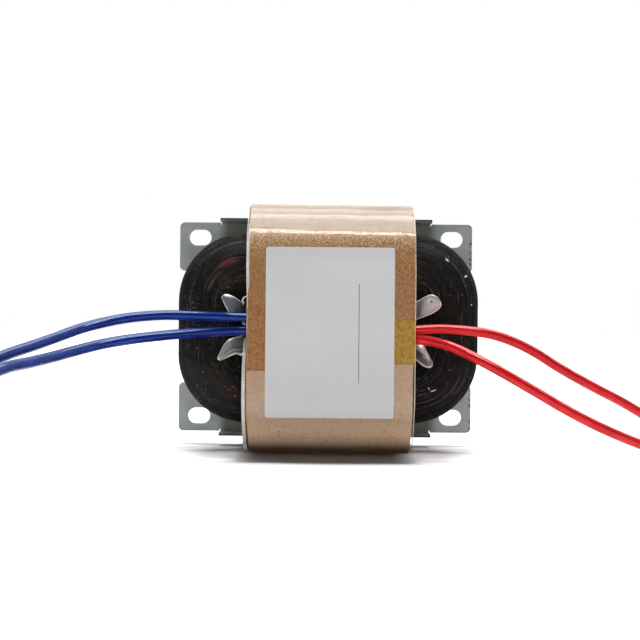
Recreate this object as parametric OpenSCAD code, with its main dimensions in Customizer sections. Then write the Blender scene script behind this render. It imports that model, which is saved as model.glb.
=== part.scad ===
// R-core transformer: a round-section core loop with two coils, wrapped in one paper belt
// and clamped by two split straps to a slotted mounting bracket. Millimetres, +Z up.
// It stands on the seam of its belt, with the bracket upright at the back.

/* [Core] */
// Outer length of the core loop
core_l = 89.6; // [78:0.2:110]
// Outer height of the core loop
core_h = 56.8; // [54:0.2:70]
// Diameter of the round core section
core_d = 20; // [16:0.2:21]
// Corner radius at the inside of the window
window_r = 1; // [0.5:0.1:2]

/* [Bobbins and coils] */
// Radial gap between the core and a bobbin tube
bore_gap = 0.3; // [0.1:0.05:0.5]
// Wall of a bobbin tube
tube_t = 1; // [0.6:0.1:1.4]
// Thickness of a bobbin flange
flange_t = 1; // [0.6:0.1:1.5]
// Gap between the two coils' flanges
flange_gap = 0.4; // [0.2:0.1:1]
// Length of the window left free for the straps, beside a bobbin
bobbin_room = 2.4; // [2.3:0.1:4]
// Shift of the upper bobbin to the right
upper_shift = 0.1; // [0:0.05:0.1]
// Shift of the lower bobbin to the left
lower_shift = 1; // [0:0.1:1]
// How far a flange rim stands above the tape sleeve
flange_lip = 0.9; // [0.5:0.1:1.5]
// Share of the winding space that the primary takes
primary_share = 0.5; // [0.3:0.05:0.7]
// Thickness of the tape sleeve on a coil
coil_tape_t = 0.5; // [0.2:0.1:0.6]
// Gap between one layer of a coil and the next
layer_gap = 0.05; // [0.02:0.01:0.1]

/* [Belt] */
// Gap between the left strap and the belt's edge
belt_left_gap = 0.55; // [0.05:0.05:2]
// From the right end of the window to the belt's edge
belt_right_gap = 0.4; // [0.4:0.1:3]
// Thickness of the paper belt
paper_t = 0.3; // [0.2:0.05:0.5]
// Thickness of the clear film
film_t = 0.1; // [0.05:0.01:0.2]
// How far the film stands proud of the paper on the right
film_proud = 0.4; // [0:0.1:1]
// Gap between the flange rims and the belt
belt_gap = 0.05; // [0.02:0.01:0.2]
// Width of the belt's glued overlap, on which the part stands
seam_w = 8; // [6:0.5:12]
// Gap between the belt's nick and the strap that passes it
nick_gap = 0.1; // [0.1:0.05:0.3]

/* [Label and tapes] */
// From the belt's left edge to the label
label_left_gap = 5.3; // [3:0.1:10]
// From the belt's right edge to the label
label_right_gap = 5.75; // [3:0.05:10]
// Height of the label
label_h = 48.6; // [30:0.2:52]
// How far the middle of the label lies above the middle of the core
label_z = -1.2; // [-2:0.1:2]
// Corner radius of the label
label_r = 0.6; // [0.2:0.1:4]
// Thickness of the label
label_t = 0.15; // [0.1:0.05:0.3]
// Thickness of the lead tapes
patch_t = 0.08; // [0.05:0.01:0.15]
// Height of the brown tape over the blue leads
blue_patch_h = 17.8; // [12:0.2:24]
// How far the middle of the brown tape lies above the middle of the core
blue_patch_z = -3.3; // [-5:0.1:5]
// Height of the yellow tape over the red leads
red_patch_h = 12.6; // [8:0.2:20]
// How far the middle of the yellow tape lies above the middle of the core
red_patch_z = -3.7; // [-5:0.1:5]

/* [Bracket] */
// How far the core sits to the right of the bracket's middle
core_x = 0.75; // [-1.2:0.05:1.2]
// How far the plate reaches past each end of the core
plate_margin_x = 1.45; // [0.5:0.05:10]
// How far the ears reach past the core, above and below
plate_margin_z = 4.6; // [3:0.1:6]
// Thickness of the bracket sheet
plate_t = 1; // [0.8:0.1:1.5]
// Width of an ear, beside the turned flanges
ear_w = 13.25; // [12:0.25:15]
// Gap between a turned flange and the belt
flange_belt_gap = 0.45; // [0.3:0.05:3]
// How far a turned flange stands proud of the ears
flange_step = 0.9; // [0.5:0.1:1.5]
// Inner radius of the flange bend
bend_r = 0.4; // [0.3:0.1:1.5]
// Height of the gap between two ears
ear_gap = 35.4; // [30:0.2:38]
// Corner radius of an ear
ear_r = 1.5; // [0.5:0.1:3]
// Width of the small relief cut beside a flange
relief_w = 0.3; // [0.2:0.1:1.5]
// Length of a mounting slot
slot_l = 7; // [6:0.1:8]
// Width of a mounting slot
slot_w = 5; // [3.2:0.1:5.5]
// From the side of the plate to the middle of a slot
slot_edge_x = 6.45; // [5.5:0.05:8]
// From the top or bottom of an ear to the middle of a slot
slot_edge_z = 4.8; // [4:0.1:8]

/* [Straps] */
// Width of a strap
strap_w = 11; // [8:0.5:11.5]
// Thickness of a strap
strap_t = 1; // [0.6:0.1:1]
// Gap between a strap and the core inside the window
strap_gap = 0.05; // [0.02:0.01:0.1]
// Gap between the flat of a bobbin flange and the edge of a strap
strap_room = 1.3; // [1.2:0.1:1.5]
// Gap round a strap in its slot in the plate
strap_slot_gap = 0.1; // [0.05:0.05:0.3]
// From the front of the core back to the bend of the tongues
tongue_root = 1.6; // [1:0.1:3]
// Width of the slit between two tongues
tongue_slit = 0.4; // [0.2:0.1:1]
// Length of one bent tongue
tongue_l = 9.5; // [6:0.5:12]
// Angle at which the two tongues of a strap spread apart
tongue_spread = 34; // [20:1:45]
// Angle of a tongue to the plane of the core
tongue_tilt = 22; // [15:1:30]

/* [Leads] */
// Outer diameter of a lead
lead_d = 2.8; // [1.6:0.1:2.8]
// Diameter of a tinned conductor
tip_d = 1; // [0.6:0.1:1.4]
// Length of a stripped and tinned end
tip_l = 6; // [3:0.5:10]
// Length of a lead anchor pad
anchor_l = 9; // [5:0.5:12]
// Depth of a lead anchor pad
anchor_t = 5; // [3:0.1:5.5]
// Height of a lead anchor pad
anchor_h = 11; // [8:0.5:12]

/* [Hidden] */

$fn = 96;
// Overlap that lets one solid cut cleanly through another
cut = 1;

core_r = core_d / 2;
pitch = core_h - core_d;
window_l = core_l - 2 * core_d;
bend_c = window_r + core_r;
straight_l = core_l - core_d - 2 * bend_c;
straight_h = pitch - 2 * bend_c;

tube_in = core_r + bore_gap;
tube_out = tube_in + tube_t;
flange_r = (pitch - flange_gap) / 2;
bobbin_l = window_l - bobbin_room;
coil_l = bobbin_l - 2 * flange_t - 2 * layer_gap;
flange_flat = pitch / 2 - strap_w / 2 - strap_room;
flange_notch = core_r - tongue_root + strap_room;
coil_tape_out = flange_r - flange_lip;
coil_tape_in = coil_tape_out - coil_tape_t;
primary_in = tube_out + layer_gap;
secondary_out = coil_tape_in - layer_gap;
primary_out = primary_in + primary_share * (secondary_out - primary_in);
secondary_in = primary_out + layer_gap;

strap_x = window_l / 2 - strap_gap - strap_t;
belt_in = flange_r + belt_gap;
paper_out = belt_in + paper_t;
film_out = paper_out + film_t;
label_out = film_out + label_t;
paper_left = strap_x - belt_left_gap;
paper_w = paper_left + window_l / 2 - belt_right_gap;
film_w = paper_w + film_proud;
paper_x = paper_w / 2 - paper_left;
film_x = film_w / 2 - paper_left;

// How far behind and above the part's origin the middle of the core lies
core_y = (label_out - film_out - plate_t) / 2;
core_z = pitch / 2 + film_out;

label_w = paper_w - label_left_gap - label_right_gap;
label_x = label_left_gap + label_w / 2 - paper_left;

plate_front = core_y + film_out;
plate_back = plate_front + plate_t;
plate_w = core_l + 2 * plate_margin_x;
plate_h = core_h + 2 * plate_margin_z;
slot_pitch_x = plate_w - 2 * slot_edge_x;
slot_pitch_z = plate_h - 2 * slot_edge_z;
flange_w = plate_w - 2 * ear_w;
flange_top = plate_h / 2 + flange_step;
flange_side = flange_top - plate_t - pitch / 2;
flange_tip = core_y + sqrt(pow(film_out + flange_belt_gap, 2) - pow(flange_side, 2));
bend_out = bend_r + plate_t;
ear_h = (plate_h - ear_gap) / 2;
relief_z = flange_top - bend_out - relief_w / 2;

tongue_w = (strap_w - tongue_slit) / 2;
strap_front = core_y - core_r + tongue_root;

// Places where the leads leave their anchor pads, as on the routes below
blue_anchor_x = -15.5;
red_anchor_x = 17;

// Routes of the leads, from the anchor pad to the end of the insulation
blue_upper_route = [
    [-15.5, -15.5, 40], [-24, -15.5, 40], [-30, -17, 40.1], [-37, -21.5, 40.3],
    [-44.5, -27.5, 40.4], [-52, -35, 39.7], [-58, -41.5, 38.4], [-63, -48.5, 36.7],
    [-67, -56, 34.7], [-71, -64, 32.7], [-75, -73, 30.7], [-79, -81, 28.2], [-83.5, -88, 24.2],
    [-88.5, -93.5, 19], [-94, -98, 12.5], [-100, -101, 6.5], [-107, -103, 2.4],
    [-115, -103.5, 1.4], [-123, -102, 1.4], [-130, -98, 1.4]
];
blue_lower_route = [
    [-15.5, -15.5, 36.3], [-24, -15.5, 36.3], [-30, -18.5, 36], [-36.5, -24, 35.6],
    [-43.5, -31.5, 34.9], [-51, -39.5, 34], [-57.5, -47, 32.8], [-62.5, -55, 31.3],
    [-66.5, -63.5, 29.9], [-69.5, -73, 28.9], [-72.5, -83, 28], [-76, -92, 25.6],
    [-80, -99.5, 21.3], [-85, -105.5, 15.5], [-91, -110, 9], [-98, -113, 4],
    [-106, -114, 1.6], [-114, -113.5, 1.4], [-122, -111, 1.4]
];
red_upper_route = [
    [17, -14.9, 36.8], [25, -14.9, 36.8], [33, -15, 37.2], [41, -15.5, 36.7],
    [48, -15.5, 35.6], [54.5, -15.5, 33.4], [60.5, -15.2, 30.4], [66.5, -14.6, 26.7],
    [73, -13.4, 23.1], [79.5, -11.6, 19.8], [86.5, -9, 16.4], [94, -6.5, 12.3],
    [101.5, -5, 7.9], [109, -5, 4], [117, -7, 1.9], [124, -11, 1.4],
    [129.5, -17.5, 1.4], [132.5, -25.5, 1.4], [133, -34, 1.4], [131.5, -42, 1.4],
    [128.5, -49.5, 1.4]
];
red_lower_route = [
    [17, -16.4, 34.2], [24, -16.4, 34.2], [29, -18.5, 33.8], [34.5, -23, 32.5],
    [41.5, -28, 29.2], [49, -30.5, 25.1], [57, -31.5, 20.5], [65, -31.5, 15.9],
    [73, -29.5, 11.8], [81, -26, 8.3], [89, -22, 5.2], [97, -19.5, 2.6],
    [105, -20, 1.4], [112, -24, 1.4], [117, -30.5, 1.4], [119.5, -38.5, 1.4],
    [120, -47, 1.4], [118.5, -55.5, 1.4], [115, -63, 1.4], [110, -69.5, 1.4]
];
lead_sides = 8;

function unit(v) = v / norm(v);
// Direction of a route at one of its points
function heading(route, i) =
    unit(route[min(i + 1, len(route) - 1)] - route[max(i - 1, 0)]);
// Points round a lead at one point of its route
function ring(route, i) =
    let (
        along = heading(route, i),
        side = unit(cross(along, [0, 0, 1])),
        up = cross(side, along)
    )
    [for (k = [0:lead_sides - 1])
        let (a = 360 * (k + 0.5) / lead_sides)
        route[i] + lead_d / 2 * (cos(a) * side + sin(a) * up)];
function last(route) = route[len(route) - 1];

// Draws about the middle of the core
module at_core() {
    translate([core_x, core_y, core_z]) children();
}

// Turns a shape from the XY plane into the YZ plane and extrudes it along X, centred
module along_x(length) {
    rotate([90, 0, 90]) linear_extrude(length, center = true) children();
}

// Outline of a belt of outer radius r round both coils
module belt_outline(r) {
    for (s = [-1, 1]) translate([0, s * pitch / 2]) circle(r);
    square([2 * r, pitch], center = true);
}

// Foot of the belt's overlap, flat underneath
module seam_outline() {
    translate([-seam_w / 2, -pitch / 2 - film_out]) square([seam_w, film_out]);
}

// One quarter bend of the core, from its +X leg end up into its yoke
module core_bend() {
    translate([straight_l / 2, 0, straight_h / 2]) rotate([90, 0, 0])
        rotate_extrude(angle = 90) translate([bend_c, 0]) circle(core_r);
}

module core() {
    color([0.1, 0.09, 0.09]) at_core() {
        for (s = [-1, 1]) {
            translate([0, 0, s * pitch / 2]) rotate([0, 90, 0])
                cylinder(h = straight_l, r = core_r, center = true);
            translate([s * (core_l - core_d) / 2, 0, 0])
                cylinder(h = straight_h, r = core_r, center = true);
        }
        for (mx = [0, 1], mz = [0, 1])
            mirror([mx, 0, 0]) mirror([0, 0, mz]) core_bend();
    }
}

// Half of a bobbin about the X axis; its flanges are cut flat on the +Z side. In a front half the cut
// is a notch that only clears the strap
module half_bobbin(front) {
    difference() {
        rotate([0, 90, 0]) rotate_extrude(angle = 180) polygon([
            [tube_in, -bobbin_l / 2], [flange_r, -bobbin_l / 2], [flange_r, flange_t - bobbin_l / 2],
            [tube_out, flange_t - bobbin_l / 2], [tube_out, bobbin_l / 2 - flange_t],
            [flange_r, bobbin_l / 2 - flange_t], [flange_r, bobbin_l / 2], [tube_in, bobbin_l / 2]
        ]);
        for (s = [-1, 1])
            translate([s * bobbin_l / 2, 0, flange_flat + flange_r])
                cube([3 * flange_t, front ? 2 * flange_notch : 3 * flange_r, 2 * flange_r], center = true);
    }
}

module bobbin_half(upper, front) {
    color([0.9, 0.88, 0.82]) at_core()
        translate([upper ? upper_shift : -lower_shift, 0, (upper ? 1 : -1) * pitch / 2])
            mirror([0, 0, upper ? 1 : 0]) mirror([0, front ? 1 : 0, 0]) half_bobbin(front);
}

module sleeve(upper, r_in, r_out) {
    at_core() translate([upper ? upper_shift : -lower_shift, 0, (upper ? 1 : -1) * pitch / 2])
        rotate([0, 90, 0]) difference() {
            cylinder(h = coil_l, r = r_out, center = true);
            cylinder(h = coil_l + 2 * cut, r = r_in, center = true);
        }
}

module primary_winding(upper) {
    color([0.72, 0.4, 0.2]) sleeve(upper, primary_in, primary_out);
}

module secondary_winding(upper) {
    color([0.78, 0.45, 0.22]) sleeve(upper, secondary_in, secondary_out);
}

module coil_tape(upper) {
    color([0.75, 0.6, 0.25]) sleeve(upper, coil_tape_in, coil_tape_out);
}

// Nick in the back of the belt, where the right strap passes
module belt_nick() {
    translate([strap_x - nick_gap, belt_in - cut, -strap_w / 2 - nick_gap])
        cube([window_l, film_out - belt_in + 2 * cut, strap_w + 2 * nick_gap]);
}

module paper_wrap() {
    color([0.62, 0.45, 0.31]) at_core() difference() {
        translate([paper_x, 0, 0]) along_x(paper_w) difference() {
            union() {
                belt_outline(paper_out);
                seam_outline();
            }
            belt_outline(belt_in);
        }
        belt_nick();
    }
}

module film_wrap() {
    color([0.9, 0.88, 0.84, 0.5]) at_core() difference() {
        translate([film_x, 0, 0]) along_x(film_w) difference() {
            belt_outline(film_out);
            belt_outline(paper_out);
            seam_outline();
        }
        belt_nick();
    }
}

// A skin of thickness t that lies on the front of the film, cut to the outline given
module front_skin(t) {
    intersection() {
        along_x(2 * film_w) difference() {
            belt_outline(film_out + t);
            belt_outline(film_out);
        }
        translate([0, -film_out / 2, 0]) rotate([90, 0, 0]) linear_extrude(film_out) children();
    }
}

module rounded_rectangle(w, h, r) {
    square([w - 2 * r, h], center = true);
    square([w, h - 2 * r], center = true);
    for (sx = [-1, 1], sy = [-1, 1])
        translate([sx * (w / 2 - r), sy * (h / 2 - r)]) circle(r);
}

module label() {
    color([0.78, 0.78, 0.79]) at_core() front_skin(label_t)
        translate([label_x, label_z]) rounded_rectangle(label_w, label_h, label_r);
}

module blue_lead_tape() {
    color([0.58, 0.42, 0.27]) at_core() front_skin(patch_t)
        translate([-paper_left, blue_patch_z - blue_patch_h / 2])
            square([label_left_gap, blue_patch_h]);
}

module red_lead_tape() {
    color([0.66, 0.53, 0.27]) at_core() front_skin(patch_t)
        translate([label_x + label_w / 2, red_patch_z - red_patch_h / 2])
            square([label_right_gap + film_proud, red_patch_h]);
}

// Cross-section of the upper turned flange, with Y across and Z up
module turned_flange_outline() {
    translate([plate_back - bend_out, flange_top - bend_out]) {
        mirror([1, 0]) translate([0, bend_r]) square([plate_back - bend_out - flange_tip, plate_t]);
        intersection() {
            difference() {
                circle(bend_out);
                circle(bend_r);
            }
            square(bend_out);
        }
        mirror([0, 1]) translate([bend_r, 0]) square([plate_t, cut]);
    }
}

module ear_outline() {
    translate([(plate_w - ear_w) / 2 - relief_w, (plate_h - ear_h) / 2])
        rounded_rectangle(ear_w + 2 * relief_w, ear_h, ear_r);
}

module plate_outline() {
    difference() {
        union() {
            square([flange_w, 2 * (flange_top - bend_out)], center = true);
            for (mx = [0, 1], mz = [0, 1])
                mirror([mx, 0]) mirror([0, mz]) ear_outline();
        }
        for (sx = [-1, 1], sz = [-1, 1])
            translate([sx * (flange_w + relief_w) / 2, sz * (relief_z + plate_h / 2)])
                square([relief_w, plate_h], center = true);
    }
}

module slot_outline() {
    for (s = [-1, 1]) translate([s * (slot_l - slot_w) / 2, 0]) circle(slot_w / 2);
    square([slot_l - slot_w, slot_w], center = true);
}

module bracket_plate() {
    color([0.55, 0.56, 0.54]) difference() {
        union() {
            translate([0, plate_back, core_z]) rotate([90, 0, 0]) linear_extrude(plate_t)
                plate_outline();
            for (m = [0, 1])
                translate([0, 0, core_z]) mirror([0, 0, m]) along_x(flange_w)
                    turned_flange_outline();
        }
        for (sx = [-1, 1], sz = [-1, 1])
            translate([sx * slot_pitch_x / 2, plate_back + cut, core_z + sz * slot_pitch_z / 2])
                rotate([90, 0, 0]) linear_extrude(plate_t + 2 * cut) slot_outline();
        for (s = [-1, 1])
            translate([core_x + s * (strap_x + strap_t / 2), plate_back, core_z])
                cube([strap_t + 2 * strap_slot_gap, 3 * plate_t, strap_w + 2 * strap_slot_gap],
                    center = true);
    }
}

// One bent tongue of a strap, kept clear of the coil beside the strap
module tongue() {
    intersection() {
        translate([strap_x, strap_front, strap_w / 2 - tongue_w / 2])
            rotate([0, -tongue_spread, 0]) rotate([0, 0, -tongue_tilt])
                translate([0, 0, -tongue_w / 2]) cube([tongue_l, strap_t, tongue_w]);
        translate([strap_x, strap_front - tongue_l, 0]) cube(2 * tongue_l);
    }
}

// One strap in the window at the +X end, from the back of the plate to its two tongues
module strap() {
    translate([strap_x, strap_front, -strap_w / 2])
        cube([strap_t, plate_back - strap_front, strap_w]);
    for (m = [0, 1]) mirror([0, 0, m]) tongue();
}

module left_strap() {
    color([0.7, 0.7, 0.7]) translate([core_x, 0, core_z]) mirror([1, 0, 0]) strap();
}

module right_strap() {
    color([0.7, 0.7, 0.7]) translate([core_x, 0, core_z]) strap();
}

// Pad of tape round the joint between the winding wires and two leads
module anchor(x_min) {
    translate([x_min, core_y - belt_in + layer_gap, core_z - anchor_h / 2])
        cube([anchor_l, anchor_t, anchor_h]);
}

module blue_lead_anchor() {
    color([0.75, 0.6, 0.25]) anchor(blue_anchor_x);
}

module red_lead_anchor() {
    color([0.75, 0.6, 0.25]) anchor(red_anchor_x - anchor_l);
}

module lead(route) {
    n = len(route);
    points = [for (i = [0:n - 1]) each ring(route, i)];
    walls = [for (i = [0:n - 2], k = [0:lead_sides - 1])
        let (a = i * lead_sides, b = (k + 1) % lead_sides)
        [a + k, a + b, a + lead_sides + b, a + lead_sides + k]];
    start = [for (k = [lead_sides - 1:-1:0]) k];
    end = [for (k = [0:lead_sides - 1]) (n - 1) * lead_sides + k];
    polyhedron(points, concat([start, end], walls));
}

module tip(route) {
    along = heading(route, len(route) - 1);
    translate(last(route))
        rotate([0, acos(along.z), atan2(along.y, along.x)]) cylinder(h = tip_l, r = tip_d / 2);
}

module blue_lead_upper() { color([0.08, 0.13, 0.45]) lead(blue_upper_route); }
module blue_lead_lower() { color([0.08, 0.13, 0.45]) lead(blue_lower_route); }
module red_lead_upper() { color([0.85, 0.12, 0.12]) lead(red_upper_route); }
module red_lead_lower() { color([0.85, 0.12, 0.12]) lead(red_lower_route); }
module blue_tip_upper() { color([0.8, 0.8, 0.8]) tip(blue_upper_route); }
module blue_tip_lower() { color([0.8, 0.8, 0.8]) tip(blue_lower_route); }
module red_tip_upper() { color([0.8, 0.8, 0.8]) tip(red_upper_route); }
module red_tip_lower() { color([0.8, 0.8, 0.8]) tip(red_lower_route); }

core();
bobbin_half(true, true);  // upper_bobbin_front
bobbin_half(true, false);  // upper_bobbin_back
bobbin_half(false, true);  // lower_bobbin_front
bobbin_half(false, false);  // lower_bobbin_back
primary_winding(true);  // upper_primary_winding
secondary_winding(true);  // upper_secondary_winding
coil_tape(true);  // upper_coil_tape
primary_winding(false);  // lower_primary_winding
secondary_winding(false);  // lower_secondary_winding
coil_tape(false);  // lower_coil_tape
paper_wrap();
film_wrap();
label();
blue_lead_tape();
red_lead_tape();
bracket_plate();
left_strap();
right_strap();
blue_lead_anchor();
red_lead_anchor();
blue_lead_upper();
blue_lead_lower();
red_lead_upper();
red_lead_lower();
blue_tip_upper();
blue_tip_lower();
red_tip_upper();
red_tip_lower();
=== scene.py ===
import bpy, bmesh, math, random
import numpy as np
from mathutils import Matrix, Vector, noise


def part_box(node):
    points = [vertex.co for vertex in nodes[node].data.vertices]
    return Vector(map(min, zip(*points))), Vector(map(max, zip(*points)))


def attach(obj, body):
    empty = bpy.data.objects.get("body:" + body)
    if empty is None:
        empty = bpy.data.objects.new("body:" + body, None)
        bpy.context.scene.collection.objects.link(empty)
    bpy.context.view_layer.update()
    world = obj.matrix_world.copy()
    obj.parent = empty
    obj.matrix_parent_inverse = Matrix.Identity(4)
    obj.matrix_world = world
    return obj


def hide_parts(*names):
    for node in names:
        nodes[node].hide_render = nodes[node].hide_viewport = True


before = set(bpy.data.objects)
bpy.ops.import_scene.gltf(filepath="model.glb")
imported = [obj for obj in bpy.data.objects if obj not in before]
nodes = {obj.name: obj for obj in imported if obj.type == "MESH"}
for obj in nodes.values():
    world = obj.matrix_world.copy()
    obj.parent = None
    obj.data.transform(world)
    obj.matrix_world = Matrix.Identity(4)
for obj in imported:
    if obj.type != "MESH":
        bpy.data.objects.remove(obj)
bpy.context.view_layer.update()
scene = bpy.context.scene
MM = 0.001
rng = random.Random(7)


def box_mm(node):
    """The low and high corner of a CAD node, in millimetres."""
    lo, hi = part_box(node)
    return np.array(lo) / MM, np.array(hi) / MM


# ------ camera
cam = bpy.data.objects.new("camera", bpy.data.cameras.new("camera"))
scene.collection.objects.link(cam)
cam.data.sensor_width = 36
cam.data.lens = 62.04
cam.data.clip_start = 0.01
cam.location = (-1.71 * MM, -331.4 * MM, 39.45 * MM)
cam.rotation_euler = (math.radians(90), math.radians(-0.52), 0)
scene.camera = cam

# ------ sizes in millimetres
# C is the middle of the core. PAPER_L, PAPER_R, FILM_R and STRAP_IN are places along X from there, and
# PAPER_OUT and FILM_OUT are distances along Y
lo, hi = box_mm("core")
C = (lo + hi) / 2
CORE_L, CORE_D, CORE_H = hi - lo
CORE_R = CORE_D / 2
PITCH = CORE_H - CORE_D
lo, hi = box_mm("paper_wrap")
PAPER_L, PAPER_R, PAPER_OUT = lo[0] - C[0], hi[0] - C[0], (hi[1] - lo[1]) / 2
lo, hi = box_mm("film_wrap")
FILM_R, FILM_OUT = hi[0] - C[0], (hi[1] - lo[1]) / 2
PLATE_LO, PLATE_HI = box_mm("bracket_plate")
STRAP_IN = box_mm("right_strap")[0][0] - C[0]
STRAP_T = 1.0
STRAP_HALF_W = 5.5
PAPER_T = 0.3
FILM_T = 0.07
# Width of the belt's glued overlap, on which the part stands
SEAM_W = 8.0


# ------ materials
class Tree:
    """Short calls for the nodes of a material or a world. Colours are given as three numbers."""

    def __init__(self, owner):
        owner.use_nodes = True
        self.tree = owner.node_tree

    def put(self, socket, value):
        """Links the value to the socket if it is a socket itself, and sets it otherwise."""
        if isinstance(value, bpy.types.NodeSocket):
            self.tree.links.new(value, socket)
        else:
            socket.default_value = (*value, 1) if socket.type == "RGBA" else value

    def node(self, kind, inputs=None, **settings):
        n = self.tree.nodes.new("ShaderNode" + kind)
        for key, value in settings.items():
            setattr(n, key, value)
        for key, value in (inputs or {}).items():
            self.put(n.inputs[key], value)
        return n

    def calc(self, op, a, b=0.0):
        return self.node("Math", {0: a, 1: b}, operation=op).outputs[0]

    def both(self, first, *others):
        for value in others:
            first = self.calc("MULTIPLY", first, value)
        return first

    def any(self, first, *others):
        for value in others:
            first = self.calc("MAXIMUM", first, value)
        return first

    def sum(self, first, *others):
        for value in others:
            first = self.calc("ADD", first, value)
        return first

    def less(self, a, b):
        return self.calc("SUBTRACT", a, b)

    def off(self, value, middle=0.0):
        """How far the value is from the middle, on either side."""
        return self.calc("ABSOLUTE", self.less(value, middle))

    def ripples(self, value, period):
        return self.calc("SINE", self.both(value, 2 * math.pi / period))

    def span(self, value, low, high, to_low=0.0, to_high=1.0):
        """A smooth step that is to_low where the value is low and to_high where it is high."""
        ends = {"From Min": low, "From Max": high, "To Min": to_low, "To Max": to_high}
        return self.node("MapRange", {"Value": value, **ends}, interpolation_type="SMOOTHSTEP").outputs[0]

    def fall(self, value, low, high):
        """1 where the value is low and 0 where it is high."""
        return self.span(value, low, high, 1, 0)

    def band(self, value, a, b, c, d):
        """Rises from a to b and falls again from c to d."""
        return self.both(self.span(value, a, b), self.fall(value, c, d))

    def mix(self, mask, a, b):
        return self.node("Mix", {0: mask, 6: a, 7: b}, data_type="RGBA").outputs[2]

    def choose(self, mask, a, b):
        return self.node("Mix", {0: mask, 2: a, 3: b}, data_type="FLOAT").outputs[0]

    def axes(self, vec):
        return list(self.node("SeparateXYZ", {0: vec}).outputs)

    def length(self, vec):
        return self.node("VectorMath", {0: vec}, operation="LENGTH").outputs["Value"]

    def layer(self, mask, under, over):
        """Lays one shader over another where the mask is 1."""
        return self.node("MixShader", {0: mask, 1: under, 2: over}).outputs[0]

    def seen(self, rays):
        """1 for the rays that make a picture, not light."""
        return self.any(rays["Is Camera Ray"], rays["Is Glossy Ray"], rays["Is Transmission Ray"])


class Shade(Tree):
    """A Principled material. Its patterns are in millimetres of the part's frame."""

    def __init__(self, name, color, rough=0.5, metal=0.0, spec=0.5, slot=None):
        self.m, self.slot = bpy.data.materials.new(name), slot or name
        super().__init__(self.m)
        self.surface = self.tree.nodes["Principled BSDF"]
        self.maps = self.node("TexCoord").outputs
        self.x, self.y, self.z = self.axes(self.at())
        self.base, self.normal = color, None
        self.to("Base Color", color)
        self.to("Roughness", rough)
        self.to("Metallic", metal)
        self.to("Specular IOR Level", spec)

    def to(self, socket, value):
        self.put(self.surface.inputs[socket], value)

    def at(self, stretch=(1, 1, 1), move=(0, 0, 0), kind="Object"):
        """Coordinates in millimetres, times stretch. The UV map holds centimetres."""
        unit = 10 if kind == "UV" else 1000
        scale = [s * unit for s in stretch]
        return self.node("Mapping", {"Vector": self.maps[kind], "Location": move, "Scale": scale}).outputs[0]

    def noise(self, scale, detail=3, rough=0.5, distort=0, move=(0, 0, 0), stretch=(1, 1, 1), kind="Object"):
        inputs = {"Scale": scale, "Detail": detail, "Roughness": rough, "Distortion": distort}
        return self.node("TexNoise", {"Vector": self.at(stretch, move, kind), **inputs}).outputs["Fac"]

    def cells(self, scale, move=(0, 0, 0)):
        return self.node("TexVoronoi", {"Vector": self.at(move=move), "Scale": scale}).outputs["Distance"]

    def paint(self, mask, color, share=1):
        """Lays a colour over the base colour where the mask is 1, or that share of it."""
        self.base = self.mix(mask if share == 1 else self.both(mask, share), self.base, color)
        self.to("Base Color", self.base)

    def rough(self, pattern, low, high):
        """Lets the roughness follow a pattern."""
        self.to("Roughness", self.span(pattern, 0.3, 0.7, low, high))

    def bump(self, height, depth, strength=1.0):
        """Adds a bump of that depth in millimetres."""
        n = self.node("Bump", {"Height": height, "Distance": depth * MM, "Strength": strength})
        if self.normal is not None:
            self.put(n.inputs["Normal"], self.normal)
        self.normal = n.outputs[0]
        self.to("Normal", self.normal)

    def show(self, shader):
        """Puts another shader in the place of the Principled one."""
        self.tree.nodes.remove(self.surface)
        self.put(self.tree.nodes["Material Output"].inputs["Surface"], shader)

    def spot(self, x, z, radius, soft, stretch=1.0, turn=0.0):
        """1 inside an ellipse seen from the front, with its middle at (x, z) from the middle of the core."""
        dx, dz = self.less(self.x, C[0] + x), self.less(self.z, C[2] + z)
        c, k = math.cos(turn), math.sin(turn)
        along = self.sum(self.both(dx, c / stretch), self.both(dz, k / stretch))
        over = self.less(self.both(dz, c), self.both(dx, k))
        place = self.node("CombineXYZ", {0: along, 2: over}).outputs[0]
        return self.fall(self.length(place), radius - soft, radius + soft)


# ------ pieces
def add_piece(name, data, mat, replaced=()):
    """Puts a mesh or a curve into the scene as a piece of the one body."""
    data.materials.clear()
    data.materials.append(mat.m)
    ob = bpy.data.objects.new(name, data)
    scene.collection.objects.link(ob)
    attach(ob, "root")
    if replaced:
        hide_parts(*replaced)
    return ob


def piece(name, verts, faces, mat, replaced=(), sharp=30, uv=None):
    """A mesh piece from points in millimetres. uv, in centimetres, is one pair for each corner."""
    me = bpy.data.meshes.new(name)
    me.from_pydata([tuple(float(c) * MM for c in v) for v in verts], [], faces)
    me.validate()
    me.shade_smooth()
    if sharp:
        me.set_sharp_from_angle(angle=math.radians(sharp))
    if uv is not None:
        layer = me.uv_layers.new(name="Sweep")
        layer.uv.foreach_set("vector", np.asarray(uv, np.float32).ravel())
    return add_piece(name, me, mat, replaced)


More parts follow.
